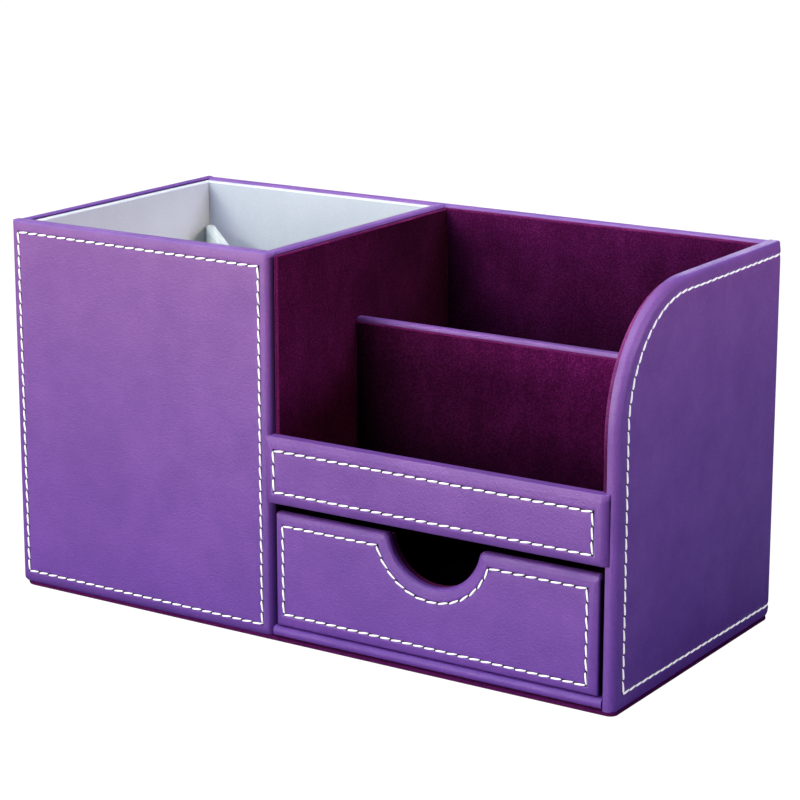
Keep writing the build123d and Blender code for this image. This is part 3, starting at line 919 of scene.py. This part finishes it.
def makeDrawerFront():
    lo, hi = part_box("drawer_front_cover")
    hi.x -= drawerFront["sideGap"]
    panel = frontPanel(lo.y)
    spans = (lo.x, hi.x), (lo.z, hi.z)
    radius = drawerFront["notchRadius"]
    bm = notchedOutline(*spans, notchCentre, radius, drawerFront["notchSteps"])
    lips = [v for v in bm.verts if abs(v.co.y - hi.z) < touch and abs(v.co.x - notchCentre.x) < radius]
    roundCorners(bm, lips, drawerFront["lipRound"], drawerFront["lipSteps"])
    pressProfile(bm, drawerFront, drawerFront["slants"], drawerFront["slideReach"], drawerFront["gather"])
    turnOver(bm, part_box("drawer_front_lining")[0].y - lo.y, drawerFront)
    paintShadeOnFolds(bm, drawerFront["paintedShades"])
    makeSewn(bm, panel, "drawer_front_leather", "drawer", "drawer_front_cover")
    sewn = bmesh.new()
    corners = sewnCorners(spans, drawerFront)
    bend = radius + drawerFront["margin"]
    ends = []
    for side in (-1, 1):
        share = (notchCentre.x + side * bend - corners[0].x) / (corners[1].x - corners[0].x)
        fall = math.asin((notchCentre.y - corners[0].lerp(corners[1], share).y) / bend)
        ends.append((fall, notchCentre + bend * Vector((side * math.cos(fall), -math.sin(fall)))))
    (nearFall, near), (farFall, far) = ends
    sewLine(sewn, panel, corners[0], near)
    sewArc(sewn, panel, notchCentre, bend, math.pi + nearFall, 2 * math.pi - farFall)
    sewThrough(sewn, panel, (far, *corners[1:], corners[0]))
    makeStitches(sewn, "drawer_front_stitches", "drawer")


makeDrawerFront()
print("drawer front sewn")


# narrow caps and the strip under the drawer
caps = {"rimRound": 1.0 * mm, "dividerRound": 0.9 * mm, "stripRound": 1.7 * mm, "stripGap": 0.6 * mm,
        "stripLift": 0.4 * mm}


# a folded strip: open on one side, rounded along the edges of the side it shows
def makeCap(name, node, lo, hi, radius, along, shown, openSide):
    bm = boxBetween(lo, hi)
    edges = [e for e in faceTowards(bm, shown).edges if not isLevel(e, along)]
    bmesh.ops.delete(bm, geom=[faceTowards(bm, openSide)], context="FACES_ONLY")
    roundEdges(bm, [e for e in edges if e.is_valid], radius)
    makePiece(bm, name, "case", [leather], [node], skin)


def makeCaps():
    lo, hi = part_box("partition_cap")
    makeCap("partition_rim", "partition_cap", (walls["potEdge"], walls["potBack"], lo.z),
            (walls["bayEdge"], walls["backInner"], hi.z), caps["rimRound"], 1, (0, 0, 1), (0, 0, -1))
    lo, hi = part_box("divider_cap")
    makeCap("divider_rim", "divider_cap", lo, hi, caps["dividerRound"], 0, (0, 0, 1), (0, 0, -1))
    lo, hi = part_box("base_front_strip")
    hi.x -= caps["stripGap"]
    lo.z += caps["stripLift"]
    makeCap("base_strip", "base_front_strip", lo, hi, caps["stripRound"], 0, (0, -1, 0), (0, 1, 0))


makeCaps()
print("caps and strip made")


# soft linings, each a padded panel with rounded edges
linings = {"round": 0.55 * mm, "thin": 0.40 * mm, "fine": 0.15 * mm, "steps": 3, "notchStep": 0.3 * mm,
           "setback": 0.2 * mm, "gap": 0.5 * mm, "back": 0.5 * mm}
plumPile = [velvet, pileEdgeHighlight]
softPanels = (
    ("case", [velour, velourEdgeHighlight], "pale_velour", "round", (
        "pot_front_lining", "pot_back_lining", "pot_floor_lining")),
    ("case", [sideVelour, velourEdgeHighlight], "pale_velour", "round", ("pot_left_lining", "pot_right_lining")),
    ("case", [sideVelvet, pileEdgeHighlight], "plum_velvet", "round", ("partition_lining",)),
    ("case", [dividerVelvet, pileEdgeHighlight], "plum_velvet", "round", (
        "divider_front_lining", "divider_rear_lining")),
    ("case", [backVelvet, pileEdgeHighlight], "plum_velvet", "round", ("back_lining",)),
    ("case", plumPile, "plum_velvet", "round", ("rail_lining",)),
    ("case", plumPile, "plum_velvet", "thin", ("front_floor_lining", "rear_floor_lining")),
    ("drawer", plumPile, "plum_velvet", "thin", (
        "drawer_floor_lining", "drawer_back_lining", "drawer_left_lining", "drawer_right_lining")),
    ("case", [felt, felt], "plum_felt", "fine", ("drawer_bay_liner",)),
)


# the rounded edges take the second, lighter material: a painted highlight where the edge of the pile catches
# light
def markHighlightEdges(bm, flat):
    bm.normal_update()
    for face in bm.faces:
        face.material_index = int(all(abs(face.normal[axis]) < 0.97 for axis in flat))


def makeLinings():
    for body, piles, slotName, radius, group in softPanels:
        for node in group:
            lo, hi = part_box(node)
            if node == "partition_lining":
                lo += Vector((walls["bayEdge"] + linings["gap"] - lo.x, linings["back"], 0.0))
            bm = boxBetween(lo, hi)
            roundEdges(bm, bm.edges[:], linings[radius], linings["steps"])
            markHighlightEdges(bm, (0, 1, 2))
            makePiece(bm, node + "_soft", body, piles, [node])


# gives a flat outline its depth and puts it in place
def thicken(bm, depth, panel):
    made = bmesh.ops.extrude_face_region(bm, geom=bm.faces[:])["geom"]
    bmesh.ops.translate(bm, vec=(0, 0, -depth), verts=vertsOf(made))
    bmesh.ops.recalc_face_normals(bm, faces=bm.faces[:])
    putOn(bm, panel)
    return bm


def sweptPlate(lo, hi, radius):
    bm = plainOutline((lo.y, hi.y), (lo.z, hi.z))
    sweptCorner(bm, radius, sideWall["sweepSteps"])
    return thicken(bm, hi.x - lo.x, rightPanel(hi.x))


def notchedPlate(lo, hi, radius):
    bm = notchedOutline((lo.x, hi.x), (lo.z, hi.z), notchCentre, radius, drawerFront["notchSteps"])
    return thicken(bm, hi.y - lo.y, frontPanel(lo.y))


def makePlateLining(bm, node, body, piles, axis, radius):
    roundEdges(bm, [e for e in bm.edges if isLevel(e, axis)], linings[radius], linings["steps"])
    markHighlightEdges(bm, (axis,))
    makePiece(bm, node + "_soft", body, piles, [node])


def makeShapedLinings():
    lo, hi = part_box("right_side_lining")
    setback = linings["setback"]
    bend = sideWall["sweep"] - (walls["top"] - hi.z) - setback
    near = Vector((lo.x, lo.y + setback, lo.z))
    far = Vector((walls["rightInner"] - linings["gap"], hi.y, hi.z - setback))
    bm = sweptPlate(near, far, bend)
    makePlateLining(bm, "right_side_lining", "case", [sideVelvet, pileStrongHighlight], 0, "round")
    lo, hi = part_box("drawer_front_lining")
    bm = notchedPlate(lo, hi, drawerFront["notchRadius"] + linings["notchStep"])
    makePlateLining(bm, "drawer_front_lining", "drawer", plumPile, 1, "thin")


potDivider = {"wide": 3.2 * mm, "swell": 0.5 * mm, "endRound": 1.9 * mm, "topRound": 1.6 * mm}


def makePotDivider():
    lo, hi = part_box("pot_divider")
    wide = potDivider["wide"]
    start = Vector((lo.x + wide / 2, hi.y - wide / 2, 0))
    end = Vector((hi.x - wide / 2, lo.y + wide / 2, 0))
    run = end - start
    half = wide / 2 + potDivider["swell"]
    bm = boxBetween((-run.length / 2 - wide / 2, -half, lo.z), (run.length / 2 + wide / 2, half, hi.z))
    roundEdges(bm, [e for e in bm.edges if not isLevel(e, 2)], potDivider["endRound"])
    roundEdges(bm, faceTowards(bm, (0, 0, 1)).edges, potDivider["topRound"])
    putOn(bm, Matrix.Translation((start + end) / 2) @ Matrix.Rotation(math.atan2(run.y, run.x), 4, "Z"))
    makePiece(bm, "pot_divider_soft", "case", [sideVelour], ["pot_divider"])


# felt under the base, its cut edge in view below the leather
baseFelt = {"spill": 1.0 * mm, "corner": 2.8 * mm, "potCorner": 5.0 * mm, "edge": 0.3 * mm}


def makeBaseFelt():
    lo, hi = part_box("base_felt")
    spill = Vector((baseFelt["spill"], baseFelt["spill"], 0.0))
    bm = boxBetween(lo - spill, hi + spill)
    uprights = [e for e in bm.edges if not isLevel(e, 2)]
    potUpright = min(uprights, key=lambda e: e.verts[0].co.x + e.verts[0].co.y)
    uprights.remove(potUpright)
    roundEdges(bm, [potUpright], baseFelt["potCorner"], 6)
    roundEdges(bm, [e for e in uprights if e.is_valid], baseFelt["corner"], 6)
    for way in ((0, 0, 1), (0, 0, -1)):
        roundEdges(bm, faceTowards(bm, way).edges, baseFelt["edge"], 2)
    makePiece(bm, "base_felt_soft", "case", [felt], ["base_felt"])


makeLinings()
makeShapedLinings()
makePotDivider()
makeBaseFelt()
print("linings and felt laid")


# the other boards keep their solids and get their own finish
def finishBoards():
    covered = {"drawer_left_side", "drawer_right_side", "drawer_back", "drawer_bottom",
               "shelf_board", "partition_board", "divider_board"}
    for name, node in nodes.items():
        if not node.hide_render:
            node.data.materials.clear()
            node.data.materials.append(plumPaper if name in covered else fibreboard)


# boards under padded leather, drawn in from it and eased on their outer sides
padded = {"inset": 0.9 * mm, "ease": 1.8 * mm, "potEdge": 2.2 * mm, "drawerEdge": 2.4 * mm,
          "wallEase": 1.1 * mm, "sideEase": 2.2 * mm}


def makeCore(node, body, bm, way, ease, finish, slotName):
    roundEdges(bm, faceTowards(bm, way).edges, ease)
    makePiece(bm, node.replace("_board", "_core"), body, [finish], [node])


def makeCores():
    inset, front = padded["inset"], (0, -1, 0)
    raw = fibreboard, "fibreboard"
    covered = plumPaper, "covered_board"
    draw = Vector((inset, 0.0, inset))
    drop = Vector((0.0, 0.0, inset))
    back = Vector((inset, 2 * inset, 0.0))
    potCorner = Vector((padded["potEdge"], 0.0, 0.0))
    drawerCorner = Vector((padded["drawerEdge"], 0.0, 0.0))
    for node, low, high, way, ease, finish in (
            ("pot_front_board", draw, draw + potCorner, front, "ease", raw),
            ("rail_board", draw, draw, front, "ease", raw),
            ("base_board", back, back, front, "wallEase", raw),
            ("left_side_board", Vector(), drop, (-1, 0, 0), "wallEase", raw),
            ("back_board", draw, draw, (0, 1, 0), "wallEase", covered)):
        lo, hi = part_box(node)
        makeCore(node, "case", boxBetween(lo + low, hi - high), way, padded[ease], *finish)
    lo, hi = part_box("right_side_board")
    bm = sweptPlate(lo + Vector((0.0, inset, 0.0)), hi - drop, sideWall["sweep"] - skin - inset)
    makeCore("right_side_board", "case", bm, (1, 0, 0), padded["sideEase"], *covered)
    lo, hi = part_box("drawer_front_board")
    bm = notchedPlate(lo + draw, hi - draw - drawerCorner, drawerFront["notchRadius"] + skin + inset)
    makeCore("drawer_front_board", "drawer", bm, front, padded["ease"], *raw)


makeCores()
finishBoards()
print("boards finished")


# studio: pale floor, soft lights and the camera at the photograph's angle;
# each light has a name, place, target, size with spread, power and colour
studio = {
    "floorSize": 14.0, "floorColour": (0.42, 0.42, 0.44), "floorMatt": 0.9, "floorWhite": 0.90,
    "floorGlow": 1.14, "worldLight": 0.02, "worldColour": (0.95, 0.96, 1.0),
    "lights": (
        ("stripLight", (-0.35, -0.95, 0.55), (-0.06, -0.05, 0.225), (1.3, 0.12, 30), 0.78, (0.92, 1.0, 0.82)),
        ("topLight", (-0.2, -0.25, 1.05), (0.0, 0.0, 0.1), (0.8, 0.8, 180), 8.8, (0.80, 0.92, 1.0)),
        ("lowLight", (-0.5, -1.5, 0.25), (0.0, 0.0, 0.05), (0.9, 0.5, 180), 10.8, (1.0, 0.97, 0.88)),
        ("rightLight", (0.95, 0.15, 0.48), (0.11, 0.0, 0.20), (1.0, 0.12, 34), 0.55, (0.82, 0.79, 1.13)),
        ("bayLight", (0.90, -0.10, 0.62), (-0.01, -0.055, 0.135), (0.5, 0.03, 12), 0.050, (1.0, 0.70, 0.38)),
        ("rimLight", (-0.45, 1.50, 0.46), (0.123, 0.01, 0.139), (0.3, 0.05, 10), 0.014, (0.92, 0.96, 1.0)),
        ("rearLight", (-1.1, 1.3, 0.16), (-0.05, 0.05, 0.06), (1.0, 0.2, 180), 7.0, (0.97, 0.97, 1.0)),
    ),
}
view = {"place": (0.4929, -0.7472, 0.3075), "turn": (76.610, -0.014, 33.112), "lens": 115.75,
        "sensor": 36.0, "shift": -0.0625, "clip": (0.05, 60.0)}
white = (1.0, 1.0, 1.0, 1.0)


def mixInto(tree, share, first, second, output):
    mix = addNode(tree, "MixShader")
    for socket, source in zip(mix.inputs, (share, first, second)):
        tree.links.new(source, socket)
    tree.links.new(mix.outputs["Shader"], tree.nodes[output].inputs["Surface"])


def makeFloor():
    bm = bmesh.new()
    bmesh.ops.create_grid(bm, x_segments=1, y_segments=1, size=studio["floorSize"] / 2)
    material, tree, shader = newMaterial("paleFloor", {
        "Base Color": (*studio["floorColour"], 1.0), "Roughness": studio["floorMatt"]})
    glow = addNode(tree, "Emission", sockets={"Color": white, "Strength": studio["floorGlow"]})
    path = addNode(tree, "LightPath")
    share = mathOf(tree, "MULTIPLY", path.outputs["Is Camera Ray"], studio["floorWhite"])
    mixInto(tree, share, shader.outputs["BSDF"], glow.outputs["Emission"], "Material Output")
    floor = makeObject("floor", makeMesh(bm, "floor", [material]))


def makeWorld():
    world = bpy.data.worlds.new("studioWorld")
    bpy.context.scene.world = world
    world.use_nodes = True
    tree = world.node_tree
    dim = tree.nodes["Background"]
    dim.inputs["Color"].default_value = (*studio["worldColour"], 1.0)
    dim.inputs["Strength"].default_value = studio["worldLight"]
    bright = addNode(tree, "Background", sockets={"Color": white, "Strength": 1.0})
    path = addNode(tree, "LightPath")
    mixInto(tree, path.outputs["Is Camera Ray"], dim.outputs["Background"], bright.outputs["Background"],
            "World Output")


def makeLights():
    for name, place, target, size, power, colour in studio["lights"]:
        lamp = bpy.data.lights.new(name, "AREA")
        lamp.shape = "RECTANGLE"
        lamp.size, lamp.size_y = size[:2]
        lamp.spread = math.radians(size[2])
        lamp.energy = power
        lamp.color = colour
        holder = makeObject(name, lamp)
        holder.location = place
        holder.rotation_euler = (Vector(target) - Vector(place)).to_track_quat("-Z", "Y").to_euler()


def makeCamera():
    lens = bpy.data.cameras.new("photoCamera")
    lens.lens = view["lens"]
    lens.sensor_width = view["sensor"]
    lens.shift_y = view["shift"]
    lens.clip_start, lens.clip_end = view["clip"]
    camera = makeObject("photoCamera", lens)
    camera.location = view["place"]
    camera.rotation_euler = [math.radians(angle) for angle in view["turn"]]
    bpy.context.scene.camera = camera


makeFloor()
makeWorld()
makeLights()
makeCamera()
bpy.context.scene.view_settings.view_transform = "Standard"
print("studio set")
